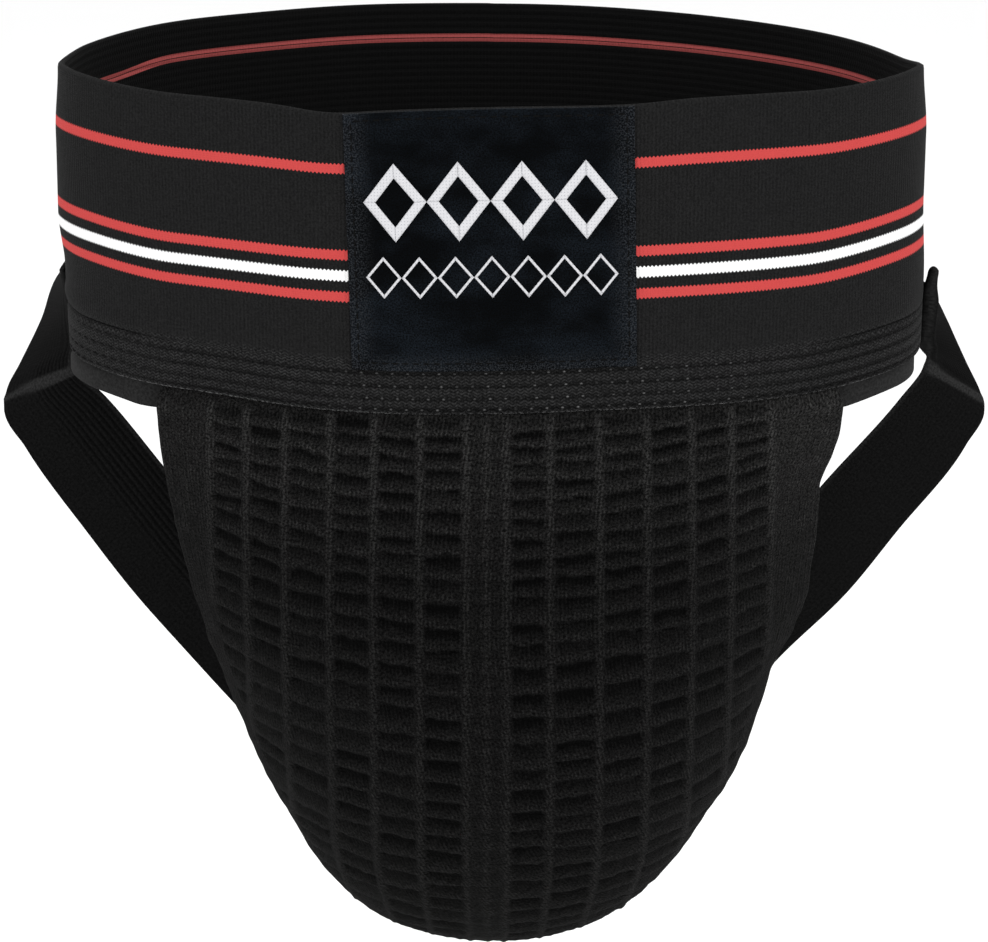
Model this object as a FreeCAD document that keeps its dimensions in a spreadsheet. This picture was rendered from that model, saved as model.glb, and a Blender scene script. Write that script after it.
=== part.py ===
"""Athletic supporter: a wide elastic waistband, a knitted front pouch and two leg straps.

Millimetres. The origin is the centre of the waist opening, in the plane of the band's top edge.
+Z is up, the front of the body is towards -Y, and everything hangs below Z = 0.

The waistband is a tube whose outline is two half ellipses, a shallow one in front and a deep one
behind, as a band is when it is worn. The front pieces follow the shallow ellipse. The pouch is a
shell lofted through D-shaped level sections, and each leg strap is a flat ribbon that leaves the
band's side, folds at a knee and runs down and inwards to the bottom of the pouch.
"""
import FreeCAD, Part
import Sketcher
import math
import os

from FreeCAD import Placement, Rotation, Vector

doc = FreeCAD.newDocument("athletic_supporter")
sheet = doc.addObject("Spreadsheet::Sheet", "sizes")

# ---------------------------------------------------------------- driving dimensions
SIZES = [
    # waistband webbing
    ("band_height", 76.0, "three-inch webbing"),
    ("band_half_width", 112.8, "outer half width, left to right"),
    ("band_front_depth", 60.0, "outer depth of the front half ellipse"),
    ("band_back_depth", 108.0, "outer depth of the back half ellipse"),
    ("band_thick", 2.0, "webbing thickness"),
    # label
    ("label_width", 72.8, "flat width across the front"),
    ("label_height", 65.0, "height"),
    ("label_drop", 1.0, "top edge below the band's top edge"),
    ("label_thick", 0.6, "satin, doubled"),
    ("label_margin", 2.0, "stitching in from the label's edge"),
    # threads
    ("thread_width", 0.6, "sewing thread as it lies"),
    ("thread_thick", 0.35, "sewing thread standing proud"),
    ("zigzag_bar", 5.2, "one slanting stitch over the band's join"),
    ("zigzag_rise", 4.0, "height of one slanting stitch"),
    # hem and facing
    ("stitch_pitch", 2.7, "between rows of the hem's coverstitch"),
    ("stitch_rows_end", 1.2, "lowest row above the band's lower edge"),
    ("tape_height", 20.0, "smooth tape inside the band's lower edge"),
    ("tape_drop", 6.5, "how far the tape hangs below the band"),
    ("tape_thick", 1.0, "tape thickness"),
    ("tape_half_span", 110.6, "half width that the tape covers"),
    ("allowance_thick", 2.2, "pouch cloth sewn in between band and tape"),
    ("pouch_half_span", 88.0, "half width of the pouch's top edge"),
    # straps
    ("strap_width", 32.0, "leg strap webbing"),
    ("strap_thick", 1.6, "leg strap webbing"),
    ("bartack_length", 27.0, "length of a bar of stitching on a strap"),
    # pouch
    ("pouch_wall", 2.4, "puckered knit"),
    ("pouch_mouth", 6.0, "how far the hollow runs on past the side edges"),
    ("hem_width", 12.0, "flat elastic along each side of the pouch"),
    ("hem_thick", 1.2, "flat elastic along each side of the pouch"),
    # tab under the strap ends
    ("facing_width", 30.0, "across"),
    ("facing_length", 32.0, "front to back"),
    ("facing_thick", 1.2, "thickness"),
    ("facing_front", 34.0, "front edge, forward of the origin"),
    ("facing_level", 231.0, "lower face, below the waist"),
]

# Level sections of the pouch: depth below the waist, half width, and how far the middle and the
# side edges stand in front of the origin.
POUCH_SECTIONS = [
    (76.4, 88.0, 59.4, 37.5),
    (90.0, 87.0, 66.0, 36.8),
    (110.0, 84.0, 74.0, 35.8),
    (135.0, 78.5, 80.5, 34.4),
    (160.0, 71.0, 82.0, 32.8),
    (182.0, 62.0, 79.0, 31.0),
    (200.0, 53.0, 72.5, 29.6),
    (214.0, 42.5, 64.0, 28.4),
    (223.0, 31.5, 55.0, 28.0),
    (229.6, 13.0, 40.0, 28.0),
]
STITCH_ROWS = 4
HOLLOW_SECTIONS = range(0, 9)       # the hollow stops above the pouch's closed bottom
BARTACK_SHARES = (0.06, 0.16)       # places of the bars between the strap's top and its knee
HEM_SECTIONS = range(1, 7)          # the side elastics run from below the tape to the round corners

# Leg strap, for the wearer's right side (-X): centre of the webbing, then the direction from its
# front edge to its back edge.
STRAP_STATIONS = [
    ((-113.4, 17.5, -53.0), (5.4, 31.0, 0.0)),
    ((-124.2, 13.9, -88.0), (-20.7, 21.8, -12.5)),
    ((-120.6, 14.4, -99.0), (-18.0, 16.6, -20.6)),
    ((-84.0, 5.7, -140.3), (-21.0, 9.0, -21.0)),
    ((-43.6, -3.8, -185.7), (-22.0, 8.0, -19.0)),
    ((-14.0, -11.2, -227.6), (-5.0, 30.0, -3.0)),
]


def fill_sheet():
    """Writes each driving dimension as a plain number with an alias."""
    rows = list(SIZES)
    for index, section in enumerate(POUCH_SECTIONS):
        for word, value in zip(("level", "half", "front", "edge"), section):
            rows.append((f"pouch_{word}_{index}", value, f"pouch section {index}"))
    for row, (alias, value, note) in enumerate(rows, start=1):
        sheet.set(f"A{row}", alias)
        sheet.set(f"B{row}", str(value))
        sheet.set(f"C{row}", note)
        sheet.setAlias(f"B{row}", alias)
    doc.recompute()


def bind(thing, **expressions):
    """Binds properties to the sheet; a double underscore stands for a dot in the property path."""
    for path, text in expressions.items():
        thing.setExpression(path.replace("__", "."), text)
    return thing


def size(alias):
    """A driving dimension's value."""
    return float(getattr(sheet, alias))


def joined(kind, name, first, second):
    """A Part boolean of two objects."""
    thing = doc.addObject(kind, name)
    thing.Base = first
    thing.Tool = second
    return thing


def compound(label, members):
    """Several separate solids that share one node."""
    thing = doc.addObject("Part::Compound", label)
    thing.Links = members
    thing.Label = label
    return thing


# ---------------------------------------------------------------- curved walls
def ellipse_block(name, half_width, depth, bottom, height):
    """An upright elliptical cylinder."""
    outline = doc.addObject("Part::Ellipse", name + "_outline")
    bind(outline, MajorRadius=half_width, MinorRadius=depth, Placement__Base__z=bottom)
    block = doc.addObject("Part::Extrusion", name)
    block.Base = outline
    block.DirMode = "Custom"
    block.Dir = Vector(0, 0, 1)
    block.Solid = True
    bind(block, LengthFwd=height)
    return block


def span_box(name, half_span, near, far, bottom, height):
    """A box from -half_span to +half_span across, and from near to far along Y."""
    box = doc.addObject("Part::Box", name)
    bind(
        box,
        Length=f"2 * ({half_span})",
        Width=f"({far}) - ({near})",
        Height=height,
        Placement__Base__x=f"-({half_span})",
        Placement__Base__y=near,
        Placement__Base__z=bottom,
    )
    return box


def front_wall(name, inset, thick, bottom, height, half_span):
    """A strip of the band's front half: its outer face is `inset` inside the band's outer face."""
    across = f"sizes.band_half_width - ({inset})"
    deep = f"sizes.band_front_depth - ({inset})"
    outer = ellipse_block(name + "_outer", across, deep, bottom, height)
    inner = ellipse_block(name + "_inner", f"{across} - ({thick})", f"{deep} - ({thick})", bottom, height)
    tube = joined("Part::Cut", name + "_tube", outer, inner)
    region = span_box(name + "_region", half_span, "-2 * sizes.band_front_depth", "0", bottom, height)
    return joined("Part::Common", name, tube, region)


def half_solid(name, inset, side):
    """Half of the band's upright block, in front of or behind the Y = 0 plane."""
    across = f"sizes.band_half_width - ({inset})"
    deep = f"sizes.band_{side}_depth - ({inset})"
    block = ellipse_block(name + "_block", across, deep, "-sizes.band_height", "sizes.band_height")
    reach = "2 * sizes.band_back_depth"
    near, far = ("-" + reach, "0") if side == "front" else ("0", reach)
    region = span_box(name + "_region", reach, near, far, "-sizes.band_height", "sizes.band_height")
    return joined("Part::Common", name, block, region)


def make_waistband():
    blocks = []
    for face, inset in (("outer", "0"), ("inner", "sizes.band_thick")):
        front = half_solid(f"band_{face}_front", inset, "front")
        back = half_solid(f"band_{face}_back", inset, "back")
        blocks.append(joined("Part::Fuse", f"band_{face}", front, back))
    band = joined("Part::Cut", "waistband", *blocks)
    band.Label = "waistband"
    return band


def make_label():
    bottom = "-sizes.label_drop - sizes.label_height"
    tall = "sizes.label_height"
    half = "sizes.label_width / 2"
    patch = front_wall("label_patch", "-sizes.label_thick", "sizes.label_thick", bottom, tall, half)
    patch.Label = "label_patch"

    proud = "sizes.label_thick + sizes.thread_thick"
    low = f"{bottom} + sizes.label_margin"
    tall = f"{tall} - 2 * sizes.label_margin"
    half = f"{half} - sizes.label_margin"
    filled = front_wall("label_thread_filled", f"-({proud})", "sizes.thread_thick", low, tall, half)
    window = span_box(
        "label_thread_window",
        f"{half} - sizes.thread_width",
        "-2 * sizes.band_front_depth",
        "0",
        f"{low} + sizes.thread_width",
        f"{tall} - 2 * sizes.thread_width",
    )
    thread = joined("Part::Cut", "label_stitching", filled, window)
    thread.Label = "label_stitching"
    return [patch, thread]


def make_band_join():
    """Zigzag thread over the join of the band's two ends, on the inside behind the label."""
    rise = size("zigzag_rise")
    tape_top = size("band_height") + size("tape_drop") - size("tape_height")
    first = 3.0
    count = int((tape_top - first) // rise) - 1
    face = size("band_front_depth") - size("band_thick") - 2 * size("thread_thick")
    bars = []
    for index in range(count):
        leaning_up = index % 2 == 0
        level = first + rise * (index + 1 if leaning_up else index)
        bar = doc.addObject("Part::Box", f"join_thread_{index}")
        bind(bar, Length="sizes.zigzag_bar", Width="sizes.thread_thick", Height="sizes.thread_width")
        turn = Rotation(Vector(0, -1, 0), 45 if leaning_up else -45)
        bar.Placement = Placement(Vector(-rise / 2, -face, -level), turn)
        bars.append(bar)
    return compound("band_join_zigzag", bars)


def make_hem():
    """The tape and the pouch's sewn-in edge inside the band, and the rows of stitching outside."""
    slack = 0.1
    tape_inset = f"sizes.band_thick + sizes.allowance_thick + 2 * {slack}"
    tape_bottom = "-sizes.band_height - sizes.tape_drop"
    tall = "sizes.tape_height"
    span = "sizes.tape_half_span"
    tape = front_wall("facing_tape", tape_inset, "sizes.tape_thick", tape_bottom, tall, span)
    tape.Label = "facing_tape"

    allowance = front_wall(
        "pouch_seam_allowance",
        f"sizes.band_thick + {slack}",
        "sizes.allowance_thick",
        "-sizes.band_height",
        "sizes.tape_height - sizes.tape_drop",
        "sizes.pouch_half_span",
    )
    allowance.Label = "pouch_seam_allowance"

    rows = []
    for index in range(STITCH_ROWS):
        middle = f"-sizes.band_height + sizes.stitch_rows_end + {index} * sizes.stitch_pitch"
        bottom = f"{middle} - sizes.thread_width / 2"
        thick = "sizes.thread_thick"
        rows.append(front_wall(f"stitch_row_{index}", "-" + thick, thick, bottom, "sizes.thread_width", span))
    return [tape, allowance, compound("hem_coverstitch", rows)]


# ---------------------------------------------------------------- sketches in a body
def new_body(label):
    body = doc.addObject("PartDesign::Body", label)
    body.Label = label
    return body


def level_plane(body):
    """The body's own XY plane."""
    return next(f for f in body.Origin.OriginFeatures if f.Role == "XY_Plane")


def new_sketch(body, name, placement):
    sketch = body.newObject("Sketcher::SketchObject", name)
    sketch.AttachmentSupport = [(level_plane(body), "")]
    sketch.MapMode = "FlatFace"
    sketch.AttachmentOffset = placement
    return sketch


def drive(sketch, kind, *where, value, name, text):
    """Adds a dimension to a sketch and binds it to the sheet."""
    index = sketch.addConstraint(Sketcher.Constraint(kind, *where, value))
    sketch.renameConstraint(index, name)
    sketch.setExpression("Constraints." + name, text)


def rectangle(body, name, placement, width, thick):
    """A rectangle centred on the sketch's origin; width and thick are (value, expression)."""
    sketch = new_sketch(body, name, placement)
    x = width[0] / 2
    y = thick[0] / 2
    corners = [Vector(-x, -y, 0), Vector(x, -y, 0), Vector(x, y, 0), Vector(-x, y, 0)]
    for index in range(4):
        sketch.addGeometry(Part.LineSegment(corners[index], corners[(index + 1) % 4]), False)
    for index in range(4):
        sketch.addConstraint(Sketcher.Constraint("Coincident", index, 2, (index + 1) % 4, 1))
    for index, kind in enumerate(("Horizontal", "Vertical", "Horizontal", "Vertical")):
        sketch.addConstraint(Sketcher.Constraint(kind, index))
    sketch.addConstraint(Sketcher.Constraint("Symmetric", 0, 1, 1, 2, -1, 1))
    drive(sketch, "DistanceX", 0, 1, 0, 2, value=width[0], name="width", text=width[1])
    drive(sketch, "DistanceY", 1, 1, 1, 2, value=thick[0], name="thick", text=thick[1])
    return sketch


def loft(body, sketches, name, subtract=False, ruled=False):
    kind = "PartDesign::SubtractiveLoft" if subtract else "PartDesign::AdditiveLoft"
    feature = body.newObject(kind, name)
    feature.Profile = sketches[0]
    feature.Sections = sketches[1:]
    feature.Ruled = ruled
    body.Tip = feature
    return feature


# ---------------------------------------------------------------- leg straps
def mirrored(point, side):
    """A point given for -X, on side -1 or +1."""
    return Vector(-side * point[0], point[1], point[2])


def strap_frames(side):
    """Placements across the strap: local X along its width, local Z along its length."""
    centres = [mirrored(centre, side) for centre, _ in STRAP_STATIONS]
    frames = []
    for index, (_, across) in enumerate(STRAP_STATIONS):
        before = centres[index] - centres[max(index - 1, 0)]
        after = centres[min(index + 1, len(centres) - 1)] - centres[index]
        run = Vector(0, 0, 0)
        for step in (before, after):
            if step.Length > 0:
                run += step.normalize()
        wide = mirrored(across, side).normalize()
        along = (run - wide * run.dot(wide)).normalize()
        frames.append(Placement(centres[index], Rotation(wide, along.cross(wide), along, "XZY")))
    return frames


def make_strap(word, side):
    """The strap and the bars of stitching that hold its top end to the band."""
    body = new_body("leg_strap_" + word)
    frames = strap_frames(side)
    width = (size("strap_width"), "sizes.strap_width")
    thick = (size("strap_thick"), "sizes.strap_thick")
    sections = [rectangle(body, f"strap_{word}_{i}", frame, width, thick) for i, frame in enumerate(frames)]
    loft(body, sections, f"strap_{word}_loft", ruled=True)

    bars = []
    top, knee = frames[0], frames[1]
    clear = 0.5
    for index, share in enumerate(BARTACK_SHARES):
        frame = Placement(top.Base + (knee.Base - top.Base) * share, top.Rotation.slerp(knee.Rotation, share))
        bar = doc.addObject("Part::Box", f"bartack_{word}_{index}")
        bind(bar, Length="sizes.bartack_length", Width="sizes.thread_thick", Height="2 * sizes.thread_width")
        faces_out = frame.Rotation.multVec(Vector(0, 1, 0)).x * side > 0
        lift = size("strap_thick") / 2 + clear
        shift_y = lift if faces_out else -lift - size("thread_thick")
        shift = Vector(-size("bartack_length") / 2, shift_y, -size("thread_width"))
        bar.Placement = Placement(frame.Base + frame.Rotation.multVec(shift), frame.Rotation)
        bars.append(bar)
    return [body, compound("strap_bartack_" + word, bars)]


# ---------------------------------------------------------------- pouch
def d_section(body, name, index, hollow):
    """A level D: a chord across the side edges and an arc through the middle of the front.

    The sketch is turned half a turn about Z, so that its +Y points to the front. A hollow section
    has the same centre with the wall taken off, and its chord lies further back, to open the shell.
    """
    level, half, front, edge = POUCH_SECTIONS[index]
    sag = front - edge
    radius = (half * half + sag * sag) / (2 * sag)
    radius_text = (
        f"(sizes.pouch_half_{index} ^ 2 + (sizes.pouch_front_{index} - sizes.pouch_edge_{index}) ^ 2)"
        f" / (2 * (sizes.pouch_front_{index} - sizes.pouch_edge_{index}))"
    )
    centre = front - radius
    wall = size("pouch_wall") if hollow else 0.0
    chord = edge - size("pouch_mouth") if hollow else edge
    wall_text = " - sizes.pouch_wall" if hollow else ""
    mouth_text = " - sizes.pouch_mouth" if hollow else ""

    sketch = new_sketch(body, name, Placement(Vector(0, 0, -level), Rotation(Vector(0, 0, 1), 180)))
    sketch.setExpression("AttachmentOffset.Base.z", f"-sizes.pouch_level_{index}")
    reach = radius - wall
    angle = math.asin(min(1.0, (chord - centre) / reach))
    circle = Part.Circle(Vector(0, centre, 0), Vector(0, 0, 1), reach)
    sketch.addGeometry(Part.ArcOfCircle(circle, angle, math.pi - angle), False)
    right = Vector(reach * math.cos(angle), chord, 0)
    sketch.addGeometry(Part.LineSegment(Vector(-right.x, chord, 0), right), False)
    sketch.addGeometry(Part.Point(Vector(0, front - wall, 0)), True)
    sketch.addConstraint(Sketcher.Constraint("Coincident", 0, 2, 1, 1))
    sketch.addConstraint(Sketcher.Constraint("Coincident", 1, 2, 0, 1))
    sketch.addConstraint(Sketcher.Constraint("Horizontal", 1))
    sketch.addConstraint(Sketcher.Constraint("PointOnObject", 0, 3, -2))
    sketch.addConstraint(Sketcher.Constraint("PointOnObject", 2, 1, -2))
    sketch.addConstraint(Sketcher.Constraint("PointOnObject", 2, 1, 0))
    drive(sketch, "Radius", 0, value=reach, name="radius", text=radius_text + wall_text)
    front_text = f"sizes.pouch_front_{index}{wall_text}"
    chord_text = f"sizes.pouch_edge_{index}{mouth_text}"
    drive(sketch, "DistanceY", -1, 1, 2, 1, value=front - wall, name="front", text=front_text)
    drive(sketch, "DistanceY", -1, 1, 1, 2, value=chord, name="chord", text=chord_text)
    return sketch


def make_pouch():
    body = new_body("pouch_panel")
    solid = [d_section(body, f"pouch_face_{i}", i, False) for i in range(len(POUCH_SECTIONS))]
    loft(body, solid, "pouch_loft", ruled=True)
    hollow = [d_section(body, f"pouch_hollow_{i}", i, True) for i in HOLLOW_SECTIONS]
    loft(body, hollow, "pouch_hollow_loft", subtract=True, ruled=True)
    return body


def make_pouch_hem(word, side):
    """Flat elastic behind the pouch's side edge, and the thread that sews it on."""
    body = new_body("pouch_hem_" + word)
    thread = new_body("hem_stitching_" + word)
    gap = 0.3
    inset = 1.0
    clear = 0.05
    width = (size("hem_width"), "sizes.hem_width")
    thick = (size("hem_thick"), "sizes.hem_thick")
    thread_width = (size("thread_width"), "sizes.thread_width")
    thread_thick = (size("thread_thick"), "sizes.thread_thick")
    lift = size("hem_thick") / 2 + clear + size("thread_thick") / 2
    flats = []
    threads = []
    for index in HEM_SECTIONS:
        level, half, _, edge = POUCH_SECTIONS[index]
        across = side * (half - size("hem_width") / 2 - inset)
        centre = Vector(across, -edge + gap + size("hem_thick") / 2, -level)
        spot = centre + Vector(-side * size("hem_width") / 4, lift, 0)
        flats.append(rectangle(body, f"hem_{word}_{index}", Placement(centre, Rotation()), width, thick))
        place = Placement(spot, Rotation())
        threads.append(rectangle(thread, f"thread_{word}_{index}", place, thread_width, thread_thick))
    loft(body, flats, f"hem_{word}_loft", ruled=True)
    loft(thread, threads, f"thread_{word}_loft", ruled=True)
    return [body, thread]


def make_bottom_join():
    """The tab under the strap ends that ties them to the pouch, and its bars of stitching."""
    tab = doc.addObject("Part::Box", "bottom_facing")
    tab.Label = "bottom_facing"
    bind(tab, Length="sizes.facing_width", Width="sizes.facing_length", Height="sizes.facing_thick")
    front = -size("facing_front")
    low = -size("facing_level")
    tab.Placement = Placement(Vector(-size("facing_width") / 2, front, low), Rotation())
    bars = []
    count = 3
    pitch = size("facing_length") / count
    clear = 0.05
    for index in range(count):
        bar = doc.addObject("Part::Box", f"bottom_bar_{index}")
        bind(bar, Length="sizes.bartack_length", Width="2 * sizes.thread_width", Height="sizes.thread_thick")
        across = -size("bartack_length") / 2
        spot = Vector(across, front + pitch * (index + 0.5), low - size("thread_thick") - clear)
        bar.Placement = Placement(spot, Rotation())
        bars.append(bar)
    return [tab, compound("bottom_bartack", bars)]


# ---------------------------------------------------------------- the whole object
def make_all():
    pieces = [make_waistband()]
    pieces += make_label()
    pieces.append(make_band_join())
    pieces += make_hem()
    pieces.append(make_pouch())
    for word, side in (("right", -1), ("left", 1)):
        pieces += make_strap(word, side)
        pieces += make_pouch_hem(word, side)
    pieces += make_bottom_join()
    return pieces


def check(pieces):
    """Stops unless every object recomputed and every piece is a valid, non-empty solid."""
    for thing in doc.Objects:
        bad = [state for state in thing.State if state in ("Invalid", "Error")]
        if bad:
            raise RuntimeError(f"{thing.Label}: {bad}")
    for piece in pieces:
        shape = piece.Shape
        if shape.isNull() or not shape.isValid() or not shape.Solids:
            raise RuntimeError(f"{piece.Label}: no valid solid")
        print(f"{piece.Label}: {len(shape.Solids)} solid(s), {shape.Volume / 1000:.2f} cm3")


def write(pieces):
    os.makedirs("parts", exist_ok=True)
    for piece in pieces:
        piece.Shape.exportStep(f"parts/{piece.Label}.step")


fill_sheet()
PIECES = make_all()
doc.recompute()
check(PIECES)
write(PIECES)
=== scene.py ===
"""The looks of an athletic supporter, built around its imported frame.

Metres, Z up, the front towards -Y. Every piece is a closed sheet of cloth or a row of stitches.
A sheet starts as a grid of points through the middle of the cloth: its first axis runs across
(at the front, from -X to +X) and its second runs down, so that the cloth's face looks outwards.
"""
import math

import bpy
import numpy as np
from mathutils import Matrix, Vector


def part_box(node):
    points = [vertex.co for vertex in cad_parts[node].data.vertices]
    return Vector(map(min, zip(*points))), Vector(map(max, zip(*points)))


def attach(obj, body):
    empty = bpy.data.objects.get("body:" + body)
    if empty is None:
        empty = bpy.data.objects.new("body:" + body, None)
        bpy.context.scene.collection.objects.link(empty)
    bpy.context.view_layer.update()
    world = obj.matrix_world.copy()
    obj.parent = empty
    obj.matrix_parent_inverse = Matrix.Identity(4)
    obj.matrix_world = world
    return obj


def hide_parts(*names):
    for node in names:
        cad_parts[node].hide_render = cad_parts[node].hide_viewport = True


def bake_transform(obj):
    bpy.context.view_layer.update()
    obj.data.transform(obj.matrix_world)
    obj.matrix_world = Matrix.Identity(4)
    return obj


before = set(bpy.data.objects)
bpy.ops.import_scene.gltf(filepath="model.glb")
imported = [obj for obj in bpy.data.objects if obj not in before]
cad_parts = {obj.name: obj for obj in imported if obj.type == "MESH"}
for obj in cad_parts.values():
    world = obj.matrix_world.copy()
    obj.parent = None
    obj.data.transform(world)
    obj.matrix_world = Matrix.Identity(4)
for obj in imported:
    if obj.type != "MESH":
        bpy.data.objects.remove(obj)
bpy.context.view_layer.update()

MM = 0.001

# ---------------- sizes from the frame
BAND_LOW, BAND_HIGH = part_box("waistband")
LABEL_LOW, LABEL_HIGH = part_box("label_patch")
TAPE_LOW, TAPE_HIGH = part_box("facing_tape")
TAB_LOW, TAB_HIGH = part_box("bottom_facing")

HALF_WIDTH = BAND_HIGH.x
FRONT_DEPTH = -BAND_LOW.y
BACK_DEPTH = BAND_HIGH.y
BAND_HEIGHT = -BAND_LOW.z
BAND_THICK = 2.0 * MM
LABEL_THICK = 0.6 * MM
TAPE_THICK = 1.0 * MM
POUCH_THICK = 2.4 * MM
STRAP_WIDTH = 32.0 * MM
STRAP_THICK = 1.6 * MM
HEM_WIDTH = 12.0 * MM
HEM_THICK = 1.2 * MM
THREAD = 0.6                        # millimetres


# ---------------- curves and grids
def smooth(x, knots, values):
    """A smooth curve through a few points: cubic pieces, with slopes taken from the neighbours."""
    knots = np.asarray(knots, float)
    values = np.asarray(values, float)
    slopes = np.gradient(values, knots)
    i = np.clip(np.searchsorted(knots, x) - 1, 0, len(knots) - 2)
    step = knots[i + 1] - knots[i]
    t = np.clip((x - knots[i]) / step, 0, 1)
    start = values[i] * (1 + 2 * t) * (1 - t) ** 2 + slopes[i] * step * t * (1 - t) ** 2
    end = values[i + 1] * t * t * (3 - 2 * t) + slopes[i + 1] * step * t * t * (t - 1)
    return start + end


def step_up(x, low, high):
    """0 below low, 1 above high, and smooth between them."""
    t = np.clip((x - low) / (high - low), 0, 1)
    return t * t * (3 - 2 * t)


def over(x, low, high):
    """The step up between two lengths in millimetres."""
    return step_up(x, low * MM, high * MM)


def under(x, low, high):
    """The step down between two lengths in millimetres."""
    return 1 - over(x, low, high)


def hump(x, middle, width, power=2):
    """A hump of height 1 that falls away on both sides of its middle. Its sizes are millimetres."""
    return np.exp(-((x - middle * MM) / (width * MM)) ** power)


def lengths(points):
    """Distance along a line of points, from its first point."""
    return np.concatenate([[0], np.cumsum(np.linalg.norm(np.diff(points, axis=0), axis=1))])


def unit(vectors):
    return vectors / np.linalg.norm(vectors, axis=-1, keepdims=True)


def on_line(at, run, points):
    """Places at distances `at` along a line of points whose own distances are `run`."""
    return np.stack([np.interp(at, run, points[:, k]) for k in range(3)], axis=1)


def on_curve(at, knots, points):
    """The same on a smooth curve through the points."""
    return np.stack([smooth(at, knots, column) for column in points.T], axis=1)


def spaced(length, edge, count):
    """Distances from one edge of a cloth to the other, closer together where its edges are round."""
    turn = edge * (1 - np.cos(np.linspace(0, math.pi / 2, 4)))[:-1]
    return np.concatenate([turn, np.linspace(edge, length - edge, count), (length - turn)[::-1]])


def spread(width, height, thick, columns, rows):
    """Distances across and down a cloth, at every point of its grid."""
    sides = spaced(width, thick / 2, columns), spaced(height, thick / 2, rows)
    return np.meshgrid(*sides, indexing="ij")


def ripple(x, y, size, seed):
    """A smooth irregular field from -1 to 1 whose bumps are about `size` across."""
    waves = 7
    random = np.random.default_rng(seed)
    total = 0.0
    for _ in range(waves):
        heading, phase = random.uniform(0, 2 * math.pi, 2)
        rate = random.uniform(0.6, 1.5) * math.pi / size
        total = total + np.sin(rate * (x * math.cos(heading) + y * math.sin(heading)) + phase)
    return total / math.sqrt(waves * 2)


ANGLES = np.linspace(-math.pi / 2, 1.5 * math.pi, 4001)


def outline_depth(angle):
    """The band's outline is a shallow half ellipse in front and a deep one behind."""
    return np.where(np.sin(angle) < 0, FRONT_DEPTH, BACK_DEPTH)


OUTLINE = np.stack([HALF_WIDTH * np.cos(ANGLES), outline_depth(ANGLES) * np.sin(ANGLES)], axis=1)
OUTLINE_RUN = lengths(OUTLINE)
GIRTH = OUTLINE_RUN[-1]


def run_at(x):
    """Distance round the band, from the middle of the front, to the place in front that lies at x."""
    quarter = len(ANGLES) // 4
    return np.sign(x) * np.interp(abs(x), OUTLINE[:quarter, 0], OUTLINE_RUN[:quarter])


def on_band(run, inset, level):
    """Points `inset` inside the band's outer face, at a distance round it and a height."""
    angle = np.interp(np.mod(run, GIRTH), OUTLINE_RUN, ANGLES)
    depth = outline_depth(angle)
    flat = np.zeros(np.broadcast(run, inset, level).shape)
    cos, sin = np.cos(angle), np.sin(angle)
    point = np.stack([HALF_WIDTH * cos + flat, depth * sin + flat, level + flat], axis=-1)
    out = unit(np.stack([cos / HALF_WIDTH + flat, sin / depth + flat, flat], axis=-1))
    return point - out * (inset + flat)[..., None]


ROLL, CREASE = 60.2, 63.4            # depths of the soft roll and the fold above the hem. Millimetres
HEM_ROWS = (65.6, 68.8, 71.9, 74.6)  # depths of the rows of stitching. Millimetres
HEM_REACH = float(OUTLINE_RUN[len(ANGLES) // 4]) - 3 * MM
LABEL_REACH = float(run_at(LABEL_HIGH.x)) - 0.9 * MM
LABEL_TOP = -0.1 * MM                # all but flush with the band's top edge
LABEL_HEIGHT = LABEL_TOP - LABEL_LOW.z - 1.2 * MM


def plan(run):
    """The x and y of a place round the band."""
    place = on_band(run, 0.0, 0.0)
    return place[..., 0], place[..., 1]


def signed(run):
    """Distance round the band from the middle of the front, negative towards -X."""
    return np.where(run > GIRTH / 2, run - GIRTH, run)


def out_of_band(run):
    """The direction out of the band's face."""
    return unit(on_band(run, 0.0, 0.0) - on_band(run, MM, 0.0))


# ---------------- sheets of cloth
def grid_normals(grid):
    """Outward directions of a grid whose first axis runs across and whose second runs down."""
    return unit(np.cross(np.gradient(grid, axis=1), np.gradient(grid, axis=0)))


def rounding(distance, axis, radius):
    """Share of the full thickness: 1 inside the cloth, falling in a quarter circle at its two edges."""
    far = distance.max(axis=axis, keepdims=True)
    nearest = np.minimum(distance, far - distance)
    return np.sqrt(np.clip(1 - np.clip(1 - nearest / radius, 0, 1) ** 2, 0, 1))


def grid_faces(ids, outward):
    a, b, c, d = ids[:-1, :-1], ids[:-1, 1:], ids[1:, 1:], ids[1:, :-1]
    order = (a, b, c, d) if outward else (d, c, b, a)
    return np.stack(order, axis=-1).reshape(-1, 4).tolist()


def edge_faces(front, back, forward):
    """Faces between the edge of a sheet's front and the edge of its back, whose steps may differ."""
    spans = min(len(front), len(back)) - 1
    per_front = (len(front) - 1) // spans
    per_back = (len(back) - 1) // spans
    faces = []
    for k in range(spans):
        near = list(front[k * per_front:(k + 1) * per_front + 1])
        far = list(back[k * per_back:(k + 1) * per_back + 1])
        faces.append(near + far[::-1] if forward else near[::-1] + far)
    return faces


def placed(name, data):
    """A new object in the scene."""
    item = bpy.data.objects.new(name, data)
    bpy.context.scene.collection.objects.link(item)
    return item


def mesh_piece(name, vertices, faces):
    data = bpy.data.meshes.new(name)
    data.from_pydata(vertices, [], faces)
    data.polygons.foreach_set("use_smooth", np.ones(len(faces), bool))
    return placed(name, data)


def store(piece, name, values):
    """Keeps a number or a vector at each point of a piece, for its material."""
    kind, field = ("FLOAT_VECTOR", "vector") if values.ndim == 2 else ("FLOAT", "value")
    attribute = piece.data.attributes.new(name, kind, "POINT")
    attribute.data.foreach_set(field, values.astype(np.float32).ravel())


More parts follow.
